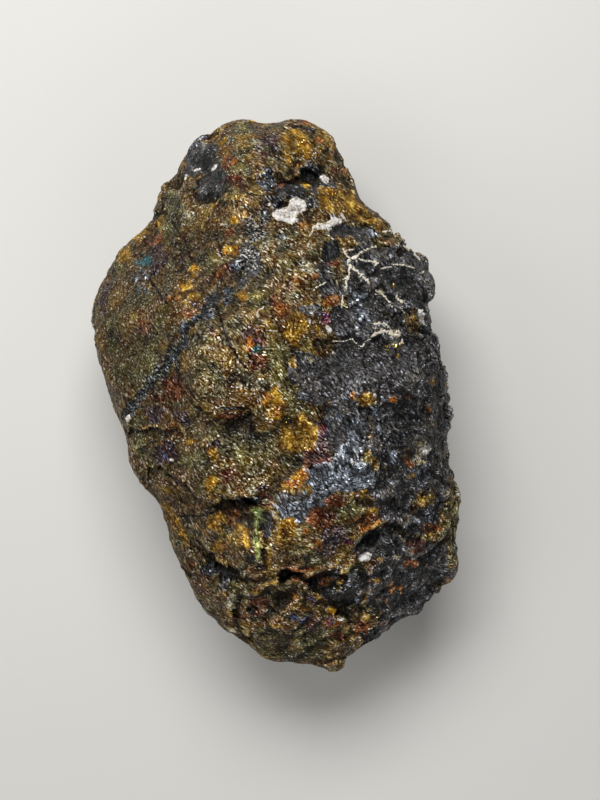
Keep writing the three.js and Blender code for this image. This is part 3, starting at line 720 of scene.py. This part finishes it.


# Massive tarnished sulphide ore, freshly broken. Each grain has its own lightness and its own tilt, which
# gives the eye a fine metallic glitter;
# the lightest grains also carry a painted glint, hollows a painted shade and ridges a painted highlight. The
# hue has no edges: it drifts with the tarnish over millimetres.
oreLook = {
    "grain": 0.3, "flake": 0.75, "clump": 1.9, "haze": 6,  # mm; flakes are drawn out along the foliation
    "drawnOut": 1.9, "sway": 9, "swayReach": 2.4,  # mm: how the foliation bends
    # lightness on the eye's scale of 0 to 1: what a light grain, flake or clump adds, the painted glint of
    # the lightest grains, and what all lose
    "grainReach": 0.39, "flakeReach": 0.06, "clumpReach": 0.05, "paintedGlint": 0.24, "darker": 0.062,
    "paling": (0.92, 1, 1.12),  # what is lighter is also greyer, and what is darker browner
    # painted shade in creases and hollows and painted highlight on ridges: per mm of depth, and the most
    "paintedShading": {"crease": (2.2, 0.4), "hollow": (0.22, 0.5)},  # per mm of depth, and the most
    "metal": 0.3, "brightMetal": 0.5, "darkEven": 0.28,
    "sheen": 0.2, "darkSheen": 0.5, "roughness": (0.34, 0.62),
    "hazeRange": (0.38, 0.62),  # the haze keeps to this part of 0 to 1
    # the lightest grains get a painted glint in their colour
    "skew": 1.5, "paintedGlintFrom": 0.92, "calm": 0.4,  # few grains are light, fewer glint, least in the dark ore
    "least": 0.04, "most": 0.93,  # lightness on the eye's scale
    "bumps": {"grain": 0.85, "flake": 0.3},  # depths as shares of the size
    "lineTear": {"vein": 1.5, "crack": 0.5},
    "colours": {
        "bronze": [(0, "#524b33"), (0.25, "#5c5034"), (0.45, "#665332"), (0.62, "#5f4932"), (0.8, "#6d5831"),
                   (1, "#7b6636")],
        "olive": [(0, "#3f3a25"), (0.5, "#5b5434"), (1, "#787148")],
        "plum": [(0, "#30262a"), (0.5, "#493a37"), (1, "#5e4d47")],
        "gold": [(0, "#5f4812"), (0.35, "#846319"), (0.7, "#a27c25"), (1, "#c49a3c")],
        "orange": [(0, "#593717"), (0.5, "#825322"), (1, "#a87032")],
        "rust": [(0, "#3e2012"), (0.5, "#623c20"), (1, "#885630")],
        "dark": [(0, "#2a2724"), (0.35, "#3a3734"), (0.65, "#454446"), (1, "#57534e")],
        "silver": [(0, "#37373a"), (0.4, "#4e5157"), (0.7, "#6a7078"), (1, "#90969f")],
        "rainbow": [(0, "#3a4664"), (0.35, "#53405e"), (0.6, "#744053"), (0.8, "#88503a"), (1, "#6f6a3a")],
        "teal": [(0, "#32484a"), (1, "#568287")],
        "green": [(0, "#525a33"), (0.5, "#7d8550"), (1, "#a7ab72")],
        # soot-black sulphide, and the painted shade of pits, holes and ledges
        "blackAndPitShade": [(0, "#141312"), (0.6, "#242220"), (1, "#3a3734")],
        "speckle": [(0, "#16181b"), (0.55, "#272a2d"), (0.7, "#605f59"), (0.86, "#97938a"), (1, "#c8c3b7")],
        "vein": [(0, "#0c0d0f"), (0.5, "#1a1c1f"), (0.74, "#323538"), (0.88, "#5c5f60"), (1, "#a4a49b")],
        "buff": [(0, "#4c4636"), (0.4, "#7c735a"), (0.75, "#ada386"), (1, "#dcd4bb")],
        "quartz": [(0, "#857d75"), (0.4, "#bab2a9"), (1, "#e9e3dc")],
        "crack": [(0, "#15100c"), (1, "#2a1e15")],
    },
}


# the three random numbers of a pattern
def randoms(tree, pattern):
    return addNode(tree, "SeparateColor", links={"Color": pattern.outputs["Color"]}).outputs


def orePatterns(tree):
    look = oreLook
    place = addNode(tree, "TexCoord").outputs["Object"]
    haze = addNode(tree, "TexNoise", links={"Vector": place},
                   inputs={"Scale": 1 / (look["haze"] * mm), "Detail": 4, "Roughness": 0.6})
    sway = addNode(tree, "TexNoise", links={"Vector": place},
                   inputs={"Scale": 1 / (look["sway"] * mm), "Detail": 1})
    bent = addNode(tree, "VectorMath", operation="MULTIPLY_ADD", links={0: sway.outputs["Color"], 2: place},
                   inputs={1: [2 * look["swayReach"] * mm] * 3})
    drawn = addNode(tree, "Mapping", vector_type="TEXTURE", links={"Vector": bent.outputs["Vector"]},
                    inputs={"Rotation": (0, 0, math.radians(brokenGround["foliation"])),
                            "Scale": (look["drawnOut"], 1, 1)}).outputs["Vector"]
    patterns = {"haze": haze, "drawn": drawn}
    for name in ("grain", "flake", "clump"):
        patterns[name] = addNode(tree, "TexVoronoi", links={"Vector": drawn},
                                 inputs={"Scale": 1 / (look[name] * mm)})
    return patterns


# shades say where in a mineral's range of colours a place is, chances decide which mineral it is
def shadesAndChances(tree, hazes, flakes, grains):
    shades, chances = [], []
    low, high = oreLook["hazeRange"]
    spread = [addNode(tree, "MapRange", links={"Value": haze}, inputs={"From Min": low, "From Max": high})
              for haze in hazes]
    for i in range(3):
        shade = addNode(tree, "Math", operation="MULTIPLY_ADD", inputs={1: 0.1},
                        links={0: flakes[i], 2: spread[(i + 1) % 3].outputs["Result"]})
        shades.append(addNode(tree, "MapRange", links={"Value": shade.outputs[0]},
                              inputs={"From Min": 0.05, "From Max": 1.05}).outputs["Result"])
        part = addNode(tree, "Math", operation="MULTIPLY_ADD", inputs={1: 0.25},
                       links={0: flakes[(i + 1) % 3], 2: spread[i].outputs["Result"]})
        whole = addNode(tree, "Math", operation="MULTIPLY_ADD", inputs={1: 0.1},
                        links={0: grains[(i + 2) % 3], 2: part.outputs[0]})
        chances.append(addNode(tree, "MapRange", links={"Value": whole.outputs[0]},
                               inputs={"From Min": 0.14, "From Max": 1.21}).outputs["Result"])
    return shades, chances


# lays a mineral's own colour over what is there
def layMineral(tree, under, name, shade, amount):
    stops = oreLook["colours"][name]
    ramp = addNode(tree, "ValToRGB", links={"Fac": shade})
    elements = ramp.color_ramp.elements
    while len(elements) < len(stops):
        elements.new(1)
    for element, (place, colour) in zip(elements, stops):
        element.position = place
        element.color = srgb(colour)
    if under is None:
        return ramp.outputs["Color"]
    return addNode(tree, "Mix", data_type="RGBA",
                   links={0: amount, 6: under, 7: ramp.outputs["Color"]}).outputs[2]


# 1 where this mineral is: where the chance is under its share, and nowhere at all where the share is 0
def mineralMask(tree, name, chance):
    soft = minerals[name]["soft"]
    share = addNode(tree, "Attribute", attribute_name=name).outputs["Fac"]
    grown = addNode(tree, "Math", operation="MULTIPLY", links={0: share}, inputs={1: 1 + 2 * soft})
    over = addNode(tree, "Math", operation="SUBTRACT", links={0: grown.outputs[0], 1: chance})
    return addNode(tree, "MapRange", interpolation_type="SMOOTHSTEP", links={"Value": over.outputs[0]},
                   inputs={"From Min": 0, "From Max": 2 * soft}).outputs["Result"]


# 1 within a line, whose edge is torn by the chance
def lineMask(tree, name, chance, tear):
    signed = addNode(tree, "Attribute", attribute_name=name).outputs["Fac"]
    away = addNode(tree, "Math", operation="ABSOLUTE", links={0: signed})
    torn = addNode(tree, "Math", operation="MULTIPLY_ADD", links={0: chance, 2: away.outputs[0]},
                   inputs={1: tear})
    return addNode(tree, "MapRange", interpolation_type="SMOOTHSTEP", links={"Value": torn.outputs[0]},
                   inputs={"From Min": 1.2 + tear / 2, "From Max": 0.8 + tear / 2}).outputs["Result"]


# what a place's grain, flake and clump add to its lightness, with a painted glint on the lightest grains,
# less where the ore is even
def grainLightness(tree, grain, flake, clump, even):
    look = oreLook
    mean = 0.4 * look["grainReach"] + 0.5 * (look["flakeReach"] + look["clumpReach"]) + look["darker"]
    skewed = addNode(tree, "Math", operation="POWER", links={0: grain}, inputs={1: look["skew"]})
    paintedGlint = addNode(tree, "MapRange", links={"Value": grain},
                    inputs={"From Min": look["paintedGlintFrom"], "From Max": 1,
                            "To Min": -mean, "To Max": look["paintedGlint"] - mean})
    total = paintedGlint.outputs["Result"]
    for value, reach in ((skewed.outputs[0], "grainReach"), (flake, "flakeReach"), (clump, "clumpReach")):
        total = addNode(tree, "Math", operation="MULTIPLY_ADD", links={0: value, 2: total},
                        inputs={1: look[reach]}).outputs[0]
    calm = addNode(tree, "MapRange", links={"Value": even}, inputs={"To Min": 1, "To Max": look["calm"]})
    return addNode(tree, "Math", operation="MULTIPLY",
                   links={0: total, 1: calm.outputs["Result"]}).outputs[0]


# painted shade: darker in creases and hollows; painted highlight: lighter on ridges and edges
def paintedHollowShade(tree):
    paintedShading = 1
    for name, (reach, most) in oreLook["paintedShading"].items():
        depth = addNode(tree, "Attribute", attribute_name=name).outputs["Fac"]
        part = addNode(tree, "MapRange", links={"Value": depth}, inputs={
            "From Min": -most / reach, "From Max": most / reach, "To Min": 1 + most, "To Max": 1 - most})
        if paintedShading == 1:
            paintedShading = part.outputs["Result"]
        else:
            paintedShading = addNode(tree, "Math", operation="MULTIPLY",
                              links={0: paintedShading, 1: part.outputs["Result"]}).outputs[0]
    return paintedShading


# adds the lightness on the eye's own scale, so that a light grain is paler and not just brighter, then
# scales it by the painted shade of hollows and the painted highlight of ridges
def lightened(tree, colour, lightness, paintedShading):
    eye = addNode(tree, "Gamma", links={"Color": colour}, inputs={"Gamma": 1 / 2.2}).outputs["Color"]
    lit = addNode(tree, "VectorMath", operation="MULTIPLY_ADD", links={0: lightness, 2: eye},
                  inputs={1: oreLook["paling"]}).outputs["Vector"]
    least, most = [oreLook["least"]] * 3, [oreLook["most"]] * 3
    for operation, links, inputs in (("SCALE", {"Scale": paintedShading}, {}), ("MAXIMUM", {}, {1: least}),
                                     ("MINIMUM", {}, {1: most})):
        lit = addNode(tree, "VectorMath", operation=operation, links={0: lit, **links},
                      inputs=inputs).outputs["Vector"]
    return addNode(tree, "Gamma", links={"Color": lit}, inputs={"Gamma": 2.2}).outputs["Color"]


# a bump of facets that each lean their own way: lean . (place - middle of the cell)
def leaningBump(tree, patterns, name, under=None, strength=None):
    size = oreLook[name] * mm
    scaled = addNode(tree, "VectorMath", operation="SCALE", links={0: patterns["drawn"]},
                     inputs={"Scale": 1 / size})
    offset = addNode(tree, "VectorMath", operation="SUBTRACT",
                     links={0: scaled.outputs["Vector"], 1: patterns[name].outputs["Position"]})
    lean = addNode(tree, "VectorMath", operation="SUBTRACT", links={0: patterns[name].outputs["Color"]},
                   inputs={1: (0.5, 0.5, 0.5)})
    height = addNode(tree, "VectorMath", operation="DOT_PRODUCT",
                     links={0: offset.outputs["Vector"], 1: lean.outputs["Vector"]})
    links = {"Height": height.outputs["Value"]}
    if under is not None:
        links["Normal"] = under
    if strength is not None:
        links["Strength"] = strength
    depth = oreLook["bumps"][name] * size
    return addNode(tree, "Bump", links=links, inputs={"Distance": depth}).outputs["Normal"]


# the colours of the minerals and the lines, one over the other, and the mask of each
def layMinerals(tree, shades, chances, flakes, grains):
    colour = layMineral(tree, None, "bronze", shades[0], None)
    masks = {}
    for i, (name, mineral) in enumerate(minerals.items()):
        masks[name] = mineralMask(tree, name, chances[i % 3])
        byShade = {"drift": shades[(i + 1) % 3], "flake": flakes[2], "grain": grains[2]}
        shade = byShade[mineral.get("shade", "drift")]
        colour = layMineral(tree, colour, name, shade, masks[name])
    for name, chance in (("vein", grains[1]), ("crack", chances[0])):
        masks[name] = lineMask(tree, name, chance, oreLook["lineTear"][name])
        colour = layMineral(tree, colour, name, grains[2], masks[name])
    return colour, masks


# metallic but for the quartz, most of all on cleavage faces; the dark ore has the strongest sheen
def setShine(tree, shader, masks, grain):
    look = oreLook
    metal = addNode(tree, "MapRange", links={"Value": masks["silver"]},
                    inputs={"To Min": look["metal"], "To Max": look["brightMetal"]})
    stony = addNode(tree, "MapRange", links={"Value": masks["quartz"], "To Min": metal.outputs["Result"]},
                    inputs={"To Max": 0})
    sheen = addNode(tree, "MapRange", links={"Value": masks["dark"]},
                    inputs={"To Min": look["sheen"], "To Max": look["darkSheen"]})
    gloss = addNode(tree, "MapRange", links={"Value": grain},
                    inputs={"To Min": look["roughness"][0], "To Max": look["roughness"][1]})
    for node, name in ((stony, "Metallic"), (sheen, "Specular IOR Level"), (gloss, "Roughness")):
        tree.links.new(node.outputs["Result"], shader[name])


def makeOreMaterial():
    material = bpy.data.materials.new("tarnished_chalcopyrite_ore")
    material.use_nodes = True
    tree = material.node_tree
    shader = tree.nodes["Principled BSDF"].inputs
    patterns = orePatterns(tree)
    kinds = ("haze", "flake", "grain", "clump")
    hazes, flakes, grains, clumps = [randoms(tree, patterns[name]) for name in kinds]
    shades, chances = shadesAndChances(tree, hazes, flakes, grains)
    colour, masks = layMinerals(tree, shades, chances, flakes, grains)
    even = addNode(tree, "Math", operation="MULTIPLY_ADD", inputs={1: oreLook["darkEven"]},
                   links={0: masks["dark"], 2: masks["quartz"]}).outputs[0]
    lightness = grainLightness(tree, grains[0], flakes[1], clumps[1], even)
    # the base colour holds the painted shade of hollows, the painted highlight of ridges and the painted
    # glints
    tree.links.new(lightened(tree, colour, lightness, paintedHollowShade(tree)), shader["Base Color"])
    setShine(tree, shader, masks, grains[1])
    calmer = addNode(tree, "MapRange", links={"Value": masks["dark"]},
                     inputs={"To Min": 1, "To Max": oreLook["calm"]})
    fine = leaningBump(tree, patterns, "grain")
    tree.links.new(leaningBump(tree, patterns, "flake", fine, calmer.outputs["Result"]), shader["Normal"])
    print("ore material made")
    return material


def makeOre():
    mesh = makeSurface(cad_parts["ore_lump"])
    shapeSurface(mesh)
    mesh.materials.clear()
    mesh.materials.append(makeOreMaterial())
    ore = bpy.data.objects.new("ore_surface", mesh)
    bpy.context.scene.collection.objects.link(ore)
    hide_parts("ore_lump")
    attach(ore, "root")
    return ore


# Crystals and grains that stand out of the ore. Milky quartz is white and slightly see-through, like coarse
# sugar; calcite fills cracks with a thin cream line; galena breaks in little bright steps; a few specks are
# untarnished chalcopyrite, as yellow as brass.
crystals = {
    "quartz_grains": {
        "shape": "lump", "size": (0.25, 0.75), "sunk": 0.3,  # mm, and the share of its size that it sinks in
        "field": "quartz", "from": 0.6, "share": 0.5,  # where the ore's own field says so
        "colours": ["#b9b0a6", "#d9d2ca", "#f3efe9"], "wave": 1.2, "metallic": 0, "roughness": 0.3,
    },
    "galena_steps": {
        "shape": "cube", "size": (0.3, 0.75), "sunk": 0.75,
        "field": "silver", "from": 0.3, "share": 0.12,
        "colours": ["#565a61", "#7d838c", "#a4abb5"], "wave": 2, "metallic": 1, "roughness": 0.28,
    },
    "calcite_veinlets": {
        "shape": "lump", "size": (0.18, 0.42), "sunk": 0.3, "spacing": 0.2,  # mm from grain to grain
        "colours": ["#b3a791", "#d8cfbb", "#f2ecde"], "wave": 1, "metallic": 0, "roughness": 0.4,
    },
    "brass_specks": {
        "shape": "lump", "size": (0.2, 0.5), "sunk": 0.4,
        "spots": [  # (x, y, reach across, reach along, how many)
            (31.8, 13.2, 1.6, 0.7, 14), (30, 12.5, 0.5, 1, 6), (32.8, 10.3, 0.4, 0.6, 4),
            (33.4, 13.6, 0.5, 0.5, 4), (24.8, -1, 1.2, 1, 8), (39.8, -28.4, 1, 1.4, 8),
            (8, -13.4, 1.6, 1.8, 12), (3, -9, 2, 2, 10), (7.5, 67.5, 1.5, 2.5, 8), (-12.2, 38.8, 1.2, 1, 6),
            (11.4, 17.4, 0.8, 1.6, 6), (31.5, 29.5, 0.5, 0.5, 3)],
        "colours": ["#a8842c", "#d0b04a", "#eddc8c"], "wave": 1, "metallic": 0.9, "roughness": 0.3,
    },
}

crystalSeed = 11  # each kind counts on from here

# cream lines in the dark flank, in mm: half a width and a path
veinlets = [
    (0.34, [(17.9, 39.3), (18.9, 37.7), (20, 36.3)]),
    (0.42, [(20, 36.4), (21.6, 37), (22.7, 38.2)]),
    (0.3, [(22.7, 38.2), (24.4, 39), (25.6, 39.6), (27.2, 39.9)]),
    (0.3, [(22.4, 36.4), (24.8, 35.9), (27.4, 35.6), (26.2, 34.4)]),
    (0.42, [(19.2, 35.4), (20.4, 34.1), (22.2, 32.8)]),
    (0.34, [(22.2, 32.8), (23.9, 31.1), (25.2, 29.9)]),
    (0.34, [(19.8, 34.4), (19.6, 32), (18.9, 30.2), (18.9, 28)]),
    (0.26, [(19.4, 31.5), (17.8, 30.8)]),
    (0.26, [(18, 26.7), (17.6, 23.2)]),
    (0.24, [(18.4, 38.6), (19.6, 38.9), (21, 39.2)]),
    (0.24, [(10.6, 28.7), (12.3, 29.6), (13.6, 30.3)]),
    (0.4, [(32.3, 26.3), (33.2, 25.2), (34.9, 24.7)]),
    (0.3, [(26.8, 27.8), (28.4, 27.3), (29.6, 25.9), (30.6, 24.8), (31.2, 23.4)]),
    (0.26, [(34.1, 23), (34.6, 21.7)]),
    (0.26, [(31, 35.1), (34, 34.9), (37.6, 34)]),
    (0.24, [(28.2, 33.9), (31.4, 34.4)]),
    (0.3, [(28.8, 43.8), (30.4, 44.1), (31.4, 43.6), (32.3, 42.6)]),
    (0.24, [(34.3, 40), (35.7, 38.8)]),
    (0.24, [(37.2, 38), (38.9, 36)]),
    (0.3, [(39.2, 32.6), (40, 33.3)]),
    (0.44, [(25.6, 15.6), (27.2, 16.6), (29.6, 16.9), (32, 16.3), (33.6, 15.8)]),
    (0.34, [(26.4, 18.9), (29, 19.2), (30.8, 18)]),
    (0.18, [(15, 14.3), (18, 14.2), (20.4, 14.9), (22.4, 12.9), (23.4, 12.8), (24, 14.3), (25.6, 14.9)]),
    (0.26, [(11.2, 45.6), (9.9, 45.1), (9.6, 43.6), (8.6, 42.5)]),
    (0.26, [(-3.2, 23.4), (-4.4, 22.9), (-5.1, 21.8), (-5, 20.6)]),
    (0.2, [(-2.8, 17.2), (0.4, 17)]),
    (0.3, [(38.7, 22.6), (39.2, 20.4), (40, 18.7)]),
]
veinletFull = 0.26  # mm: the half width whose grains have their full size


def makeCrystalMaterial(name, look):
    material = bpy.data.materials.new(name)
    material.use_nodes = True
    tree = material.node_tree
    shader = tree.nodes["Principled BSDF"].inputs
    place = addNode(tree, "TexCoord").outputs["Object"]
    cloud = addNode(tree, "TexNoise", links={"Vector": place},
                    inputs={"Scale": 1 / (look["wave"] * mm), "Detail": 3})
    spread = addNode(tree, "MapRange", links={"Value": cloud.outputs["Fac"]},
                     inputs={"From Min": 0.35, "From Max": 0.65})
    ramp = addNode(tree, "ValToRGB", links={"Fac": spread.outputs["Result"]})
    ramp.color_ramp.elements.new(0.5)
    for i, element in enumerate(ramp.color_ramp.elements):
        element.color = srgb(look["colours"][i])
    tree.links.new(ramp.outputs["Color"], shader["Base Color"])
    shader["Metallic"].default_value = look["metallic"]
    shader["Roughness"].default_value = look["roughness"]
    return material


# the ore's surface where the camera sees it at (x, y) on the level of the rim
def surfaceAt(surface, x, y):
    camera = Vector(studio["cameraAt"])
    towards = Vector((x, y, studio["rimHeight"])) - camera
    return surface.ray_cast(camera * mm, towards * mm)[:2]


def fieldPlaces(ore, look, pick):
    points, normals = readArray(ore.data, "co"), readArray(ore.data, "normal")
    share = np.empty(len(points))
    ore.data.attributes[look["field"]].data.foreach_get("value", share)
    places = np.flatnonzero((share > look["from"]) & (points[:, 2] > 2 * mm))
    places = places[pick.random(len(places)) < look["share"]]
    return [(Vector(points[i]), Vector(normals[i]), pick.uniform(*look["size"])) for i in places]


def spotPlaces(surface, look, pick):
    places = []
    for x, y, reachX, reachY, count in look["spots"]:
        for _ in range(count):
            point, normal = surfaceAt(surface, pick.normal(x, reachX / 2), pick.normal(y, reachY / 2))
            if point:
                places.append((point, normal, pick.uniform(*look["size"])))
    return places


def veinletPlaces(surface, look, pick):
    places = []
    for halfWidth, path in veinlets:
        for start, end in zip(path, path[1:]):
            steps = max(round(math.dist(start, end) / look["spacing"]), 1)
            for i in range(steps):
                x, y = [a + (b - a) * i / steps + pick.normal(0, halfWidth / 3) for a, b in zip(start, end)]
                point, normal = surfaceAt(surface, x, y)
                size = pick.uniform(*look["size"]) * halfWidth / veinletFull
                if point and pick.random() < 0.9:
                    places.append((point, normal, size))
    return places


def makeCrystals(name, places, look, pick):
    bm = bmesh.new()
    for point, normal, size in places:
        middle = point - normal * look["sunk"] * size * mm
        turn = Euler(pick.uniform(0, 2 * math.pi, 3)).to_matrix().to_4x4()
        place = Matrix.Translation(middle) @ turn @ Matrix.Diagonal((*pick.uniform(0.6, 1, 3), 1))
        if look["shape"] == "cube":
            bmesh.ops.create_cube(bm, size=1.6 * size * mm, matrix=place)
        else:
            bmesh.ops.create_icosphere(bm, subdivisions=1, radius=size * mm, matrix=place)
    mesh = bpy.data.meshes.new(name)
    bm.to_mesh(mesh)
    bm.free()
    mesh.materials.append(makeCrystalMaterial(name, look))
    piece = bpy.data.objects.new(name, mesh)
    bpy.context.scene.collection.objects.link(piece)
    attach(piece, "root")
    print(name, "made:", len(places))


def makeAllCrystals(ore):
    surface = BVHTree.FromObject(ore, bpy.context.evaluated_depsgraph_get())
    for i, (name, look) in enumerate(crystals.items()):
        pick = np.random.default_rng(crystalSeed + i)
        if "field" in look:
            places = fieldPlaces(ore, look, pick)
        elif "spots" in look:
            places = spotPlaces(surface, look, pick)
        else:
            places = veinletPlaces(surface, look, pick)
        makeCrystals(name, places, look, pick)


makeStudio()
makeAllCrystals(makeOre())
